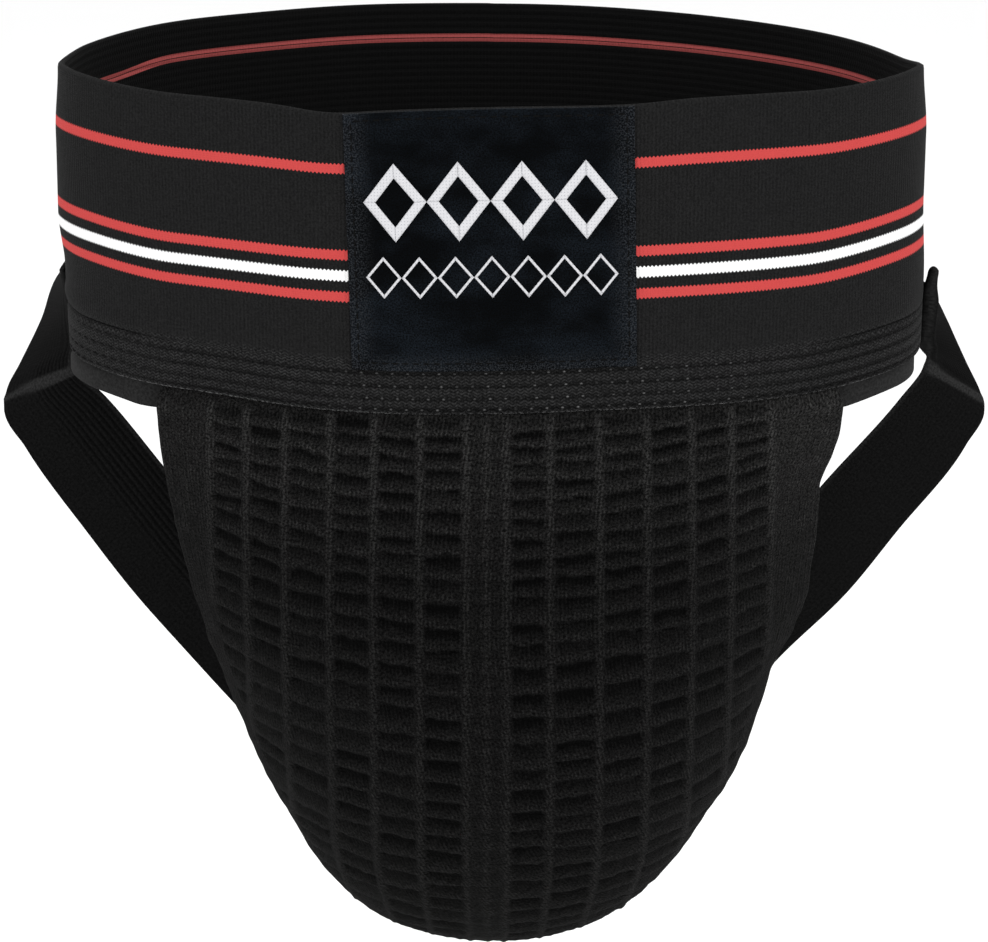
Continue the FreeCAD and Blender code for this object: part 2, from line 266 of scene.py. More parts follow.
def cloth(name, middle, across, down, thick, relief=0.0, back_relief=0.0,
          face_skip=(1, 1), back_skip=(1, 1), ring=False):
    """A closed sheet around a grid of points through the middle of the cloth.

    across and down are distances on the cloth, relief is how far its face stands proud, a skip
    keeps only every nth row of a plain side, and a ring is joined to itself across. Materials read
    two attributes: "cloth", which is (across, down, 1 on the face or 0 on the back), and "proud",
    the relief in millimetres.
    """
    shape = middle.shape[:2]
    fields = (across, down, relief, back_relief)
    across, down, relief, back_relief = (np.broadcast_to(field, shape) for field in fields)
    half = np.broadcast_to(thick, shape) / 2
    full = rounding(down, 1, half.max())
    if not ring:
        full = np.minimum(full, rounding(across, 0, half.max()))
    out = grid_normals(middle)
    sides, ids, start = [], [], 0
    for side, bumps, skip in ((1.0, relief, face_skip), (0.0, back_relief, back_skip)):
        rows = (slice(None, None, skip[0]), slice(None, None, skip[1]))
        sign = 2 * side - 1
        points = (middle + sign * out * (full * (half + bumps) + 0.02 * MM)[..., None])[rows]
        place = np.stack([across, down, np.full(shape, side)], -1)[rows]
        proud = (bumps * full / MM)[rows]
        sides.append((points.reshape(-1, 3), place.reshape(-1, 3), proud.ravel()))
        ids.append(np.arange(start, start + proud.size).reshape(proud.shape))
        start += proud.size
    if ring:
        ids = [np.concatenate([rows, rows[:1]]) for rows in ids]
    front, back = ids
    faces = grid_faces(front, True) + grid_faces(back, False)
    if not ring:
        faces += edge_faces(front[0], back[0], False) + edge_faces(front[-1], back[-1], True)
    faces += edge_faces(front[:, 0], back[:, 0], True) + edge_faces(front[:, -1], back[:, -1], False)
    points, place, proud = (np.concatenate(rows) for rows in zip(*sides))
    piece = mesh_piece(name, points, faces)
    store(piece, "cloth", place)
    store(piece, "proud", proud)
    return piece


def joined(name, parts):
    """Several meshes as one piece."""
    for part in bpy.context.selected_objects:
        part.select_set(False)
    for part in parts:
        part.select_set(True)
    bpy.context.view_layer.objects.active = parts[0]
    bpy.ops.object.join()
    parts[0].name = name
    parts[0].data.name = name
    return parts[0]


# ---------------- stitches
def stitches(name, centres, along, out, size):
    """One mesh of many short thread ends: fat in the middle, thin where they dive into the cloth.
    Their size is length, width, height and how far they arch, in millimetres."""
    length, width, height, arch = (value * MM for value in size)
    centres, along, out = (np.asarray(a, float).reshape(-1, 3) for a in (centres, along, out))
    along = unit(np.broadcast_to(along, centres.shape))
    side = unit(np.cross(np.broadcast_to(out, centres.shape), along))
    out = np.cross(along, side)
    rings = np.linspace(-1, 1, 9)
    girth = np.sqrt(np.clip(1 - np.abs(rings) ** 2.6, 0.03, 1))
    turns = np.linspace(0, 2 * math.pi, 8, endpoint=False)
    x = np.repeat(rings * length / 2, len(turns))
    y = np.outer(girth, np.cos(turns)).ravel() * width / 2
    z = np.outer(girth, np.sin(turns)).ravel() * height / 2
    z = z - np.repeat(rings ** 2, len(turns)) * arch
    points = centres[:, None] + np.stack([x, y, z], -1) @ np.stack([along, side, out], 1)
    ids = np.arange(len(rings) * len(turns)).reshape(len(rings), len(turns))
    around = np.concatenate([ids, ids[:, :1]], axis=1)
    one = grid_faces(around, False) + [ids[0][::-1].tolist(), ids[-1].tolist()]
    faces = [[i + n * ids.size for i in face] for n in range(len(centres)) for face in one]
    piece = mesh_piece(name, points.reshape(-1, 3), faces)
    ends = np.repeat(np.abs(rings), len(turns))
    store(piece, "cloth", np.tile(np.stack([x, y, ends], -1), (len(centres), 1)))
    return piece


def stitch_line(name, points, outs, pitch, gap, width, height, sink=0.0):
    """A row of stitches along a line of points. Sizes in millimetres."""
    run = lengths(points)
    count = max(2, round(run[-1] / (pitch * MM)))
    at = (np.arange(count) + 0.5) * run[-1] / count
    near = pitch * MM / 4
    along = on_line(at + near, run, points) - on_line(at - near, run, points)
    out = on_line(at, run, outs)
    centres = on_line(at, run, points) - out * sink * MM
    return stitches(name, centres, along, out, (pitch - gap, width, height, height / 2))


def zigzag(count):
    """How far the stitches of a dense bar lean, in turn to each side."""
    return np.where(np.arange(count) % 2, 0.35, -0.35)


# ---------------- materials
def node_material(name):
    material = bpy.data.materials.new(name)
    material.use_nodes = True
    return material


class Look:
    """A procedural material, with short names for the nodes that it is made of."""

    def __init__(self, name, roughness, sheen=0.0, sheen_roughness=0.5, specular=0.05):
        self.material = node_material(name)
        self.tree = self.material.node_tree
        self.shader = self.tree.nodes["Principled BSDF"]
        self.fill(self.shader, {
            "Roughness": roughness, "Specular IOR Level": specular,
            "Sheen Weight": sheen, "Sheen Roughness": sheen_roughness,
        })
        self.cloth = self.add("ShaderNodeAttribute", attribute_name="cloth").outputs["Vector"]
        self.across, self.down, self.side = self.add("ShaderNodeSeparateXYZ", {0: self.cloth}).outputs

    def add(self, kind, inputs=None, **settings):
        """A new node, with its settings and what goes into it."""
        node = self.tree.nodes.new(kind)
        for key, value in settings.items():
            setattr(node, key, value)
        self.fill(node, inputs or {})
        return node

    def fill(self, node, inputs):
        """Joins other nodes' outputs to a node's inputs, or sets the inputs to plain values."""
        for key, value in inputs.items():
            if isinstance(value, bpy.types.NodeSocket):
                self.tree.links.new(value, node.inputs[key])
            else:
                node.inputs[key].default_value = value

    def kept(self, name):
        """A number that a piece stores at each of its points."""
        return self.add("ShaderNodeAttribute", attribute_name=name).outputs["Fac"]

    def math(self, operation, *values):
        return self.add("ShaderNodeMath", dict(enumerate(values)), operation=operation).outputs[0]

    def minus(self, value, other):
        return self.math("SUBTRACT", value, other)

    def times(self, value, factor):
        return self.math("MULTIPLY", value, factor)

    def times_plus(self, value, factor, more):
        return self.math("MULTIPLY_ADD", value, factor, more)

    def above_zero(self, value):
        return self.math("MAXIMUM", value, 0.0)

    def ramp(self, value, low, high, first=0.0, last=1.0):
        """`first` where value is below low, `last` above high, and smooth between them."""
        inputs = {"Value": value, "From Min": low, "From Max": high, "To Min": first, "To Max": last}
        return self.add("ShaderNodeMapRange", inputs, interpolation_type="SMOOTHSTEP").outputs[0]

    def noise(self, size, detail=3.0, stretch=(1, 1, 1), roughness=0.55):
        """Noise from 0 to 1 with lumps about `size` millimetres across on the cloth."""
        scale = tuple(s / (size * MM) for s in stretch)
        place = self.add("ShaderNodeMapping", {"Vector": self.cloth, "Scale": scale}).outputs[0]
        inputs = {"Vector": place, "Scale": 1.0, "Detail": detail, "Roughness": roughness}
        return self.add("ShaderNodeTexNoise", inputs).outputs["Fac"]

    def specks(self, size, low, high):
        """Coarse speckle: a factor from low to high."""
        return self.ramp(self.noise(size, detail=2, roughness=0.7), 0.34, 0.66, low, high)

    def wave(self, value, pitch):
        """A smooth wave from 0 to 1 along a distance on the cloth, its pitch in millimetres."""
        turn = self.math("SINE", self.times(value, 2 * math.pi / (pitch * MM)))
        return self.times_plus(turn, 0.5, 0.5)

    def band(self, value, middle, width, soft):
        """1 inside a stripe and 0 outside it."""
        away = self.math("ABSOLUTE", self.minus(value, middle))
        return self.ramp(away, width / 2 - soft, width / 2 + soft, 1.0, 0.0)

    def mix(self, factor, first, second):
        ends = [(*tint, 1.0) if isinstance(tint, tuple) else tint for tint in (first, second)]
        inputs = {0: factor, 6: ends[0], 7: ends[1]}
        return self.add("ShaderNodeMix", inputs, data_type="RGBA").outputs[2]

    def shade(self, colour, factor):
        """A colour made darker or lighter by a number."""
        inputs = {0: colour, "Scale": factor}
        return self.add("ShaderNodeVectorMath", inputs, operation="SCALE").outputs[0]

    def finish(self, colour, height, depth, strength):
        """Puts a colour and a relief, `depth` millimetres deep, on the material."""
        inputs = {"Height": height, "Distance": depth * MM, "Strength": strength}
        bump = self.add("ShaderNodeBump", inputs).outputs[0]
        self.fill(self.shader, {"Base Color": colour, "Normal": bump})
        return self.material


BLACK = (0.0092, 0.0092, 0.0093)
RED = (0.512, 0.059, 0.057)
DULL_RED = (0.29, 0.060, 0.058)
WHITE = (0.86, 0.86, 0.86)
GREY = (0.15, 0.15, 0.15)
RIB_PITCH = 1.0                     # the webbing's upright ribs and its stripes' teeth. Millimetres
# Depth, width and colour of each outer stripe. Millimetres.
OUTER_STRIPES = ((14.6, 2.45, RED), (36.4, 2.45, RED), (41.6, 2.6, WHITE), (46.9, 2.45, RED))
INNER_STRIPE = (10.0, 2.3, 0.22)     # depth, width, and the width of the dark line in its middle


def webbing_look():
    """Elastic webbing: upright ribs outside, lengthwise ribs inside, and woven stripes."""
    look = Look("waist_webbing", roughness=0.78)
    back = look.minus(1.0, look.side)
    rib = look.wave(look.across, RIB_PITCH)
    weft = look.wave(look.down, 0.55)
    behind = look.band(look.across, GIRTH / 2, GIRTH - 2 * HEM_REACH, 4 * MM)
    low = look.ramp(look.down, 61 * MM, 63 * MM)
    hem = look.above_zero(look.times(low, look.minus(look.side, behind)))
    slanted = look.times_plus(look.wave(look.across, 2), 0.5 * MM, look.down)
    twill = look.wave(slanted, 0.8)
    knots = look.minus(look.times(twill, look.specks(0.6, 0.2, 2.0)), 0.3)
    tone = look.times_plus(rib, 0.3, look.specks(0.45, 0.52, 1.24))
    tone = look.times_plus(look.times(hem, knots), 1.35, tone)
    dark, pale, inner = (tuple(share * c for c in BLACK) for share in (0.86, 1.16, 0.33))
    colour = look.mix(look.noise(3), dark, pale)
    colour = look.mix(back, look.shade(colour, tone), inner)
    teeth = look.times(look.minus(rib, 0.5), 0.38 * MM)
    level = look.math("ADD", look.down, teeth)
    for middle, width, tint in OUTER_STRIPES:
        inside = look.band(level, middle * MM, width * MM, 0.06 * MM)
        colour = look.mix(look.times(inside, look.side), colour, tint)
    middle, width, line = INNER_STRIPE       # it sags a little at one place
    sag = look.band(look.across, GIRTH - 172 * MM, 44 * MM, 14 * MM)
    level = look.times_plus(sag, -1.4 * MM, look.down)
    inside = look.band(level, middle * MM, width * MM, 0.06 * MM)
    core = look.band(level, middle * MM, line * MM, 0.06 * MM)
    stripe = look.times(look.minus(inside, core), back)
    colour = look.mix(stripe, colour, DULL_RED)
    low_edge = look.ramp(look.down, BAND_HEIGHT - 0.7 * MM, BAND_HEIGHT - 0.2 * MM)
    lint = look.specks(0.9, -0.5, 0.9)
    colour = look.mix(look.times(low_edge, lint), colour, GREY)
    proud = look.kept("proud")
    # painted shade where the relief is sunk: the hem's stitch grooves, the crease and between the inner
    # ribs
    groove_shade = look.times_plus(look.side, -0.14, look.ramp(proud, -0.34, 0.0, 0.4, 1.14))
    grain = look.noise(0.5, detail=2)
    weave = look.times_plus(rib, 0.8, look.times(weft, 0.35))
    return look.finish(look.shade(colour, groove_shade), look.times_plus(grain, 0.7, weave), 0.12, 0.9)


def satin_look():
    """Woven satin: a blue black with soft clouds of painted sheen and a fine grain."""
    look = Look("label_satin", roughness=0.45, specular=0.03)
    # painted sheen: soft lighter clouds that stand in for the satin's highlights
    painted_sheen = look.ramp(look.noise(15, detail=3, stretch=(0.75, 1.2, 1)), 0.36, 0.68)
    grain = look.noise(0.45, detail=2, stretch=(1, 0.7, 1))
    colour = look.mix(painted_sheen, (0.0003, 0.0006, 0.0010), (0.0036, 0.0052, 0.0074))
    colour = look.shade(colour, look.specks(0.4, 0.1, 1.9))
    side = look.math("MINIMUM", look.across, look.minus(2 * LABEL_REACH, look.across))
    low = look.times_plus(look.minus(LABEL_HEIGHT, look.down), 1.2, MM)
    border = look.ramp(look.math("MINIMUM", side, low), 0.5 * MM, 8 * MM, 0.6, 0.0)
    lint = look.times(border, look.specks(0.42, -0.6, 1.0))
    colour = look.mix(look.above_zero(lint), colour, (0.040, 0.044, 0.050))
    fold = look.ramp(look.noise(14, detail=2), 0.2, 0.8)
    return look.finish(colour, look.times_plus(grain, 0.12, fold), 0.5, 0.8)


def motif_look():
    """Light woven thread: rows of fine dots."""
    look = Look("label_motif", roughness=0.6, specular=0.2)
    dots = look.times(look.wave(look.across, 0.8), look.wave(look.down, 0.8))
    dark = look.ramp(dots, 0.7, 0.95)
    colour = look.mix(dark, (0.60, 0.60, 0.62), (0.32, 0.33, 0.36))
    return look.finish(colour, dots, 0.1, 0.6)


def tape_look():
    """Smooth plush tape."""
    look = Look("smooth_tape", roughness=0.7)
    grain = look.noise(0.6, detail=2)
    colour = look.mix(look.noise(5), (0.012, 0.012, 0.012), (0.018, 0.018, 0.018))
    return look.finish(look.shade(colour, look.specks(0.8, 0.65, 1.3)), grain, 0.08, 0.6)


def knit_look():
    """Puckered plush knit: painted shade darkens the creases, and the proud places are painted lighter,
    partly as lint and partly as a painted highlight.
    """
    look = Look("pouch_knit", roughness=0.92, sheen=0.01, sheen_roughness=0.6, specular=0.03)
    proud = look.kept("proud")
    wale = look.wave(look.across, 1.05)
    fuzz = look.noise(0.55, detail=3, roughness=0.7)
    ragged = look.times_plus(look.minus(wale, 0.5), 0.34, proud)
    ragged = look.times_plus(look.minus(fuzz, 0.5), 1.2, ragged)
    # painted shade in the creases and painted highlight on the proud places, by the relief
    colour = look.mix(look.ramp(ragged, -0.9, 0.0), (0.0009, 0.0009, 0.0009), (0.0060, 0.0059, 0.0058))
    colour = look.mix(look.ramp(ragged, 0.04, 0.46), colour, (0.0142, 0.0140, 0.0137))
    # painted light: lighter where the piece stores it, on the upper part of the pouch's +X side
    painted_light = look.kept("painted_light")
    colour = look.shade(colour, look.times_plus(painted_light, 0.5, 1.0))
    height = look.times_plus(fuzz, 1.3, look.times(wale, 0.15))
    colour = look.shade(colour, look.ramp(look.down, 14 * MM, 65 * MM, 1.4, 0.68))
    return look.finish(look.shade(colour, look.specks(0.62, 0.2, 1.9)), height, 0.45, 1.0)


def elastic_look(name, level, pitch):
    """Plain ribbed elastic, for the straps and the pouch's sides: a painted highlight where the stored
    painted light is above 0 and painted shade where it is below, and painted shade in the sunken grooves."""
    look = Look(name, roughness=0.75, specular=0.01)
    grain = look.noise(0.5, detail=2)
    cross = look.wave(look.down, pitch)
    colour = look.mix(look.noise(4), (0.85 * level,) * 3, (1.15 * level,) * 3)
    proud = look.kept("proud")
    painted_light = look.kept("painted_light")
    colour = look.mix(look.ramp(painted_light, 0.1, 1.0), colour, (3.4 * level,) * 3)
    colour = look.shade(colour, look.ramp(painted_light, -1.0, 0.0, 0.25, 1.0))
    # painted shade in the sunken grooves between ribs and seams
    tone = look.times(look.specks(0.65, 0.6, 1.35), look.ramp(proud, -0.35, 0.15, 0.2, 1.0))
    height = look.times_plus(cross, 0.3, grain)
    return look.finish(look.shade(colour, tone), height, 0.1, 0.8)


def thread_look(name, level, painted_glint=0.0):
    """Sewing thread: a twist of fine fibres, with a painted glint at the top of the stitches that a piece
    marks for it.
    """
    look = Look(name, roughness=0.6, specular=0.04)
    lean = look.math("ADD", look.across, look.times(look.down, 1.2))
    twist = look.wave(lean, 0.45)
    colour = look.mix(twist, (0.6 * level,) * 3, (1.3 * level,) * 3)
    # painted glint: a lighter colour at the middle of each marked stitch
    if painted_glint:
        painted_light = look.kept("painted_light")
        crown = look.ramp(look.side, 0.05, 0.35, 1.0, 0.0)
        colour = look.mix(look.times(crown, painted_light), colour, (painted_glint,) * 3)
    return look.finish(colour, twist, 0.06, 0.8)


LOOKS = {
    "waist_webbing": webbing_look(),
    "label_satin": satin_look(),
    "smooth_tape": tape_look(),
    "pouch_knit": knit_look(),
    "side_elastic": elastic_look("side_elastic", 0.008, 0.7),
    "strap_webbing": elastic_look("strap_webbing", 0.006, 0.8),
    "thread": thread_look("thread", 0.008),
    "label_thread": thread_look("label_thread", 0.0035),
    "hem_thread": thread_look("hem_thread", 0.007, painted_glint=0.115),
    "label_motif": motif_look(),
}


def dress(piece, look, slot, *nodes):
    """Gives a piece its material and hides the CAD nodes that it stands for. The slot is not used."""
    piece.data.materials.append(LOOKS[look])
    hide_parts(*nodes)
    return piece


# ---------------- waistband
INNER_RIBS = 38
# How far the band's lower edge hangs below its flat height along the front, by x. Millimetres.
HEM_DROOP = (
    (-112, -100, -76, -45, -20, 0, 28, 78, 100, 112),
    (1.4, 0.9, 0.1, 1.9, 2.5, 2.1, 1.6, 1.9, 1.6, 1.4),
)


def band_lift(run, level):
    """The band isn't quite level: its top edge dips and rises a little, it climbs towards the sides,
    and its lower edge droops in front."""
    share = 1 + level / BAND_HEIGHT
    dip = 1.1 * hump(run, -38, 24)
    scoop = 0.8 * hump(run, -42, 10) + 0.65 * under(np.abs(run), 34, 52)
    rise = 0.7 * hump(run, 52, 38)
    x, y = plan(run)
    slant = -1.4 * x / HALF_WIDTH * over(y, -10, 25)
    top = share * (rise - dip + slant + 0.18 * ripple(run, 0, 40 * MM, 3))
    top = top - scoop * np.clip(share, 0, 2) ** 5
    near_side = over(np.abs(x), 78, 112) * over(-y, -18, 15)
    waist = over(-level, 18, 36) * under(-level, 50, 60)
    sides = (1.5 + 0.9 * waist) * near_side
    droop = smooth(x / MM, *HEM_DROOP) * over(-y, 0, 20)
    return (top + sides - droop * np.clip(-level / BAND_HEIGHT, 0, 1) ** 1.5) * MM


def band_swell(run, level):
    """How far the band's wall stands out from the plain outline."""
    depth = -level
    wave = 0.30 * ripple(run, level, 34 * MM, 5)
    at_side = np.abs(np.cos(np.interp(np.mod(run, GIRTH), OUTLINE_RUN, ANGLES)))
    x, y = plan(run)
    flare = 1 - over(depth, 40, 54) * over(-x, -20, 20)
    belly = 1.3 * at_side ** 4 * over(depth, 0, 18) * flare
    belly = belly + at_side ** 6 * over(depth, 36, 58) * over(x, 60, 100)
    roll = 0.5 * hump(depth, ROLL, 1.8)
    crease = hump(depth, CREASE, 0.8)
    front = over(-y, 0, 4) * (0.12 + 0.88 * at_side ** 3)
    front = front * (1 - 0.95 * over(x, 102, 112))
    return (wave + belly + 0.9 * front * (roll - crease)) * MM


def make_band():
    """A ring of webbing, joined behind the label in a seam too narrow to see."""
    seam = 0.05 * MM
    down = spaced(BAND_HEIGHT, BAND_THICK / 2, 187)
    run, drop = np.meshgrid(np.linspace(seam / 2, GIRTH - seam / 2, 320), down, indexing="ij")
    level = -drop
    swell = band_swell(run, level)
    middle = on_band(run, BAND_THICK / 2 - swell, level + band_lift(signed(run), level))
    ribs = 0.16 * MM * np.cos(2 * math.pi * drop / BAND_HEIGHT * INNER_RIBS)
    pleat = over(np.abs(middle[..., 0]), 72, 100)
    rows = -0.36 * MM * pleat * hump(drop, CREASE, 0.55)
    depth = 0.34 * MM * (1 + pleat * np.where(middle[..., 0] < 0, -0.5, 0.3))
    rows = rows - depth * sum(hump(drop, row, 0.5) for row in HEM_ROWS)
    hemmed = over(HEM_REACH - np.abs(signed(run)), 0, 4)
    band = cloth("band_webbing", middle, run, drop, BAND_THICK, rows * hemmed, ribs,
                 face_skip=(1, 2), ring=True)
    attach(dress(band, "waist_webbing", "waist_webbing", "waistband"), "waistband")


def make_join():
    """Zigzag thread over the butted ends, on the inside."""
    rise = 4.0 * MM
    low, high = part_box("band_join_zigzag")
    count = round((high.z - low.z) / rise)
    face = FRONT_DEPTH - BAND_THICK - 0.3 * MM
    centres = [(0, -face, high.z - rise * (index + 0.5)) for index in range(count)]
    along = [(1 if index % 2 else -1, 0, 1) for index in range(count)]
    piece = stitches("join_thread", centres, along, [(0, 1, 0)], (5.6, THREAD, THREAD, 0.2))
    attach(dress(piece, "thread", "thread", "band_join_zigzag"), "waistband")


# ---------------- hem: stitching and tape
def make_coverstitch():
    """Four rows of stitches along the hem, with a painted glint on some stitches near the front."""
    parts = []
    for index, row in enumerate(HEM_ROWS):
        run = np.linspace(1.1 * MM * index - HEM_REACH, HEM_REACH, 400)
        level = np.full(run.shape, -row * MM)
        points = on_band(run, -band_swell(run, level) + 0.05 * MM, level + band_lift(run, level))
        parts.append(stitch_line(f"row_{index}", points, out_of_band(run), 3.9, 1.2, 0.5, 0.4, sink=0.2))
    piece = joined("hem_thread", parts)
    x = np.array([vertex.co.x for vertex in piece.data.vertices])
    uneven = 0.55 + 0.45 * ripple(x, 0, 5 * MM, 8)
    # painted glint on the stitches near the front, unevenly
    store(piece, "painted_light", hump(x, 14, 54, power=4) * uneven)
    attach(dress(piece, "hem_thread", "thread", "hem_coverstitch"), "waistband")


def make_tape():
    """Smooth tape inside the lower edge: close to the band at the sides, inside the pouch in front."""
    height = TAPE_HIGH.z - TAPE_LOW.z
    across, drop = spread(2 * HEM_REACH, height, TAPE_THICK, 150, 26)
    run = across - HEM_REACH
    x, _ = plan(run)
    inset = 2.9 + 2.2 * under(np.abs(x), 86, 94)
    below_hem = over(drop - height, -7.5, -3.5)
    inset = inset - np.where(x < 0, 1.8, 0.9) * over(np.abs(x), 94, 106) * below_hem
    hang = 1.4 + 0.3 * x / HALF_WIDTH - 0.35 * ripple(run, 0, 30 * MM, 11)
    hang = hang - 2.1 * over(-x, 87, 104) - 2.5 * over(x, 89, 106)
    level = TAPE_HIGH.z - drop - hang * MM
    waves = 0.25 * ripple(run, drop, 16 * MM, 12) * step_up(drop, 8 * MM, height)
    middle = on_band(run, (inset - waves) * MM - band_swell(run, level), level)
    tape = cloth("plush_tape", middle, across, drop, TAPE_THICK)
    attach(dress(tape, "smooth_tape", "smooth_tape", "facing_tape"), "waistband")


# ---------------- label
def from_label_edge(run, drop):
    """Distance in from the nearest edge of the label."""
    return np.minimum(LABEL_REACH - np.abs(run), np.minimum(drop, LABEL_HEIGHT - drop))


def on_label(run, drop, lift):
    """A point above the label's middle surface, from its place on the label. The satin billows a
    little off the band's face, and the label is sewn on at a slight slant."""
    level = LABEL_TOP - drop
    billow = over(from_label_edge(run, drop), 2.5, 14)
    stand = 0.45 * MM + billow * 0.38 * MM * (1 + ripple(run, drop, 17 * MM, 21))
    run = run + 1.5 * MM * drop / LABEL_HEIGHT - 0.5 * MM
    swell = band_swell(np.mod(run, GIRTH), level) + lift + stand
    return on_band(run, -swell, level + band_lift(run, level))


def make_label():
    """The satin patch, with its edges folded under."""
    across, drop = spread(2 * LABEL_REACH, LABEL_HEIGHT, LABEL_THICK, 100, 90)
    run = across - LABEL_REACH
    middle = on_label(run, drop, 0.0)
    folded = 0.22 * MM * under(from_label_edge(run, drop), 3.2, 4.4)
    label = cloth("satin_label", middle, across, drop, LABEL_THICK, folded)
    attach(dress(label, "label_satin", "label_satin", "label_patch"), "waistband")


def make_label_stitching():
    """A row of stitches inside each edge of the label."""
    margin = 2.0 * MM
    wide, tall = LABEL_REACH - margin, LABEL_HEIGHT - margin
    corners = [(-wide, margin), (wide, margin), (wide, tall), (-wide, tall), (-wide, margin)]
    parts = []
    for index, (start, end) in enumerate(zip(corners[:-1], corners[1:])):
        run, drop = np.linspace(start, end, 60).T
        points = on_label(run, drop, LABEL_THICK / 2 + 0.25 * MM)
        parts.append(stitch_line(f"side_{index}", points, out_of_band(run), 2.6, 0.5, 0.45, 0.35))
    piece = joined("label_thread", parts)
    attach(dress(piece, "label_thread", "thread", "label_stitching"), "waistband")


def woven_patch(name, corners):
    """A four-cornered shape of raised weave; corners are (run, drop), in turn round the shape."""
    a, b, c, d = corners
    size = max(np.linalg.norm(b - a), np.linalg.norm(c - d))
    depth = max(np.linalg.norm(d - a), np.linalg.norm(c - b))
    n, m = max(4, int(size / (0.7 * MM))), max(4, int(depth / (0.7 * MM)))
    s, t = np.meshgrid(np.linspace(0, 1, n), np.linspace(0, 1, m), indexing="ij")
    s, t = s[..., None], t[..., None]
    flat = (a * (1 - s) + b * s) * (1 - t) + (d * (1 - s) + c * s) * t
    middle = on_label(flat[..., 0], flat[..., 1], LABEL_THICK / 2 + 0.12 * MM)
    return cloth(name, middle, flat[..., 0] + LABEL_REACH, flat[..., 1], 0.3 * MM)


def chain(name, count, level, wide, tall, stroke):
    """A row of diamond outlines that touch, each of four woven strokes. Sizes in millimetres."""
    ring = np.array([(-wide, 0), (0, -tall), (wide, 0), (0, tall), (-wide, 0)])
    hole = ring * (1 - stroke * math.hypot(wide, tall) / (wide * tall))
    parts = []
    for index in range(count):
        middle = ((index - (count - 1) / 2) * 2 * wide, level)
        for k in range(4):
            corners = np.array([ring[k], ring[k + 1], hole[k + 1], hole[k]]) + middle
            parts.append(woven_patch(f"{name}_{index}_{k}", corners * MM))
    return parts


def make_motif():
    """A plain woven ornament: a chain of bold diamonds over a chain of fine ones."""
    bold = chain("bold", count=4, level=22.8, wide=7.8, tall=9.8, stroke=2.3)
    fine = chain("fine", count=7, level=41.4, wide=4.45, tall=5.2, stroke=0.62)
    piece = joined("woven_motif", bold + fine)
    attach(dress(piece, "label_motif", "thread"), "waistband")


# ---------------- pouch
# The pouch from its sewn-in top edge to its end on the tab: depth below the waist, half width, how
# far the middle and the side edges stand in front of the origin, and how far it leans to the
# wearer's left. Millimetres.
POUCH_SECTIONS = [
    (64.5, 88.0, 57.4, 37.0, 2.3),
    (76.4, 88.2, 58.6, 37.5, 2.4),
    (90.0, 87.6, 65.4, 36.8, 2.3),
    (110.0, 84.0, 73.5, 35.8, 1.5),
    (135.0, 78.5, 80.0, 34.4, 1.5),
    (160.0, 71.0, 81.5, 32.8, 1.8),
    (182.0, 63.3, 78.6, 31.0, 2.4),
    (200.0, 54.2, 72.0, 29.6, 1.8),
    (214.0, 45.4, 63.6, 28.4, 1.2),
    (223.0, 36.4, 54.6, 27.0, 1.0),
    (227.9, 24.0, 44.0, 26.0, 1.2),
    (228.7, 14.0, 33.0, 24.5, 1.0),
    (228.6, 13.0, 23.0, 20.0, 0.5),
]
# How far the wearer's left edge wanders from the plain outline, by depth. Millimetres.
LEFT_EDGE = (
    (84, 90, 97, 102, 108, 117, 126, 135, 143, 149, 154, 165),
    (0, -0.3, -1.3, -2.1, -0.9, 0.5, 1.4, 2.2, 1.7, 0.4, -0.3, 0),
)
# Where the knit's upright ribs lie, by x, and the one in its almost smooth middle. Millimetres.
RIBS = (-71, -61.5, -51.5, -40, -29, -17.5, -6, 4, 14.7, 27, 39, 50.3, 60.5, 71)
MIDDLE_RIB = -1.0
SELVAGE = 12.0 * MM
SELVAGE_PITCH = 1.72                # of the fine ribs along the knit's side edges. Millimetres
POUCH_ROWS, POUCH_COLUMNS, SELVAGE_COLUMNS = 348, 252, 30


def edge_wander(level):
    return smooth(level / MM, *LEFT_EDGE) * MM


def side_arc(half, sag):
    """Radius of the pouch's arc at one level, and the angle from its middle to its side edge."""
    radius = (half ** 2 + sag ** 2) / (2 * sag)
    angle = np.arcsin(half / radius)
    return radius, np.where(sag > half, math.pi - angle, angle)


def pouch_grid():
    """Points of the pouch's middle surface, and distances across, down and in from its side edges."""
    sections = np.array(POUCH_SECTIONS) * MM
    profile = np.stack([sections[:, 2], sections[:, 0]], axis=1)
    knots = lengths(profile)
    fine = np.linspace(0, knots[-1], 2000)
    path = lengths(on_curve(fine, knots, profile))
    down = spaced(path[-1], POUCH_THICK / 2, POUCH_ROWS - 5)
    place = np.interp(down, path, fine)
    level, half, front, edge, lean = (smooth(place, knots, sections[:, k]) for k in range(5))
    radius, angle = side_arc(half, np.maximum(front - edge, 0.5 * MM))
    reach = radius * angle
    selvage = np.minimum(SELVAGE, 0.35 * reach)
    inner = POUCH_COLUMNS - 2 * SELVAGE_COLUMNS
    from_edge = np.linspace(0, 1, SELVAGE_COLUMNS + 1)[:-1] ** 1.12
    left = from_edge[:, None] * selvage
    middle = selvage + (2 * reach - 2 * selvage) * np.linspace(0, 1, inner + 1)[:, None]
    across = np.concatenate([left, middle, 2 * reach - left[::-1]])
    turn = (across - reach) / radius
    x = lean + radius * np.sin(turn) + edge_wander(level) * under(2 * reach - across, 0, 30)
    y = radius - front - radius * np.cos(turn)
    nearest = np.minimum(across, 2 * reach - across)
    # the side edges ripple a little
    frill = 0.35 * MM * ripple(level, 0, 9 * MM, 51)
    frill = frill * over(level, 110, 150) * under(level, 222, 227)
    x = x + np.sign(turn) * frill * under(nearest, 0, 13)
    flat = 0 * turn
    return np.stack([x, y, flat - level], axis=-1), across, flat + down, nearest


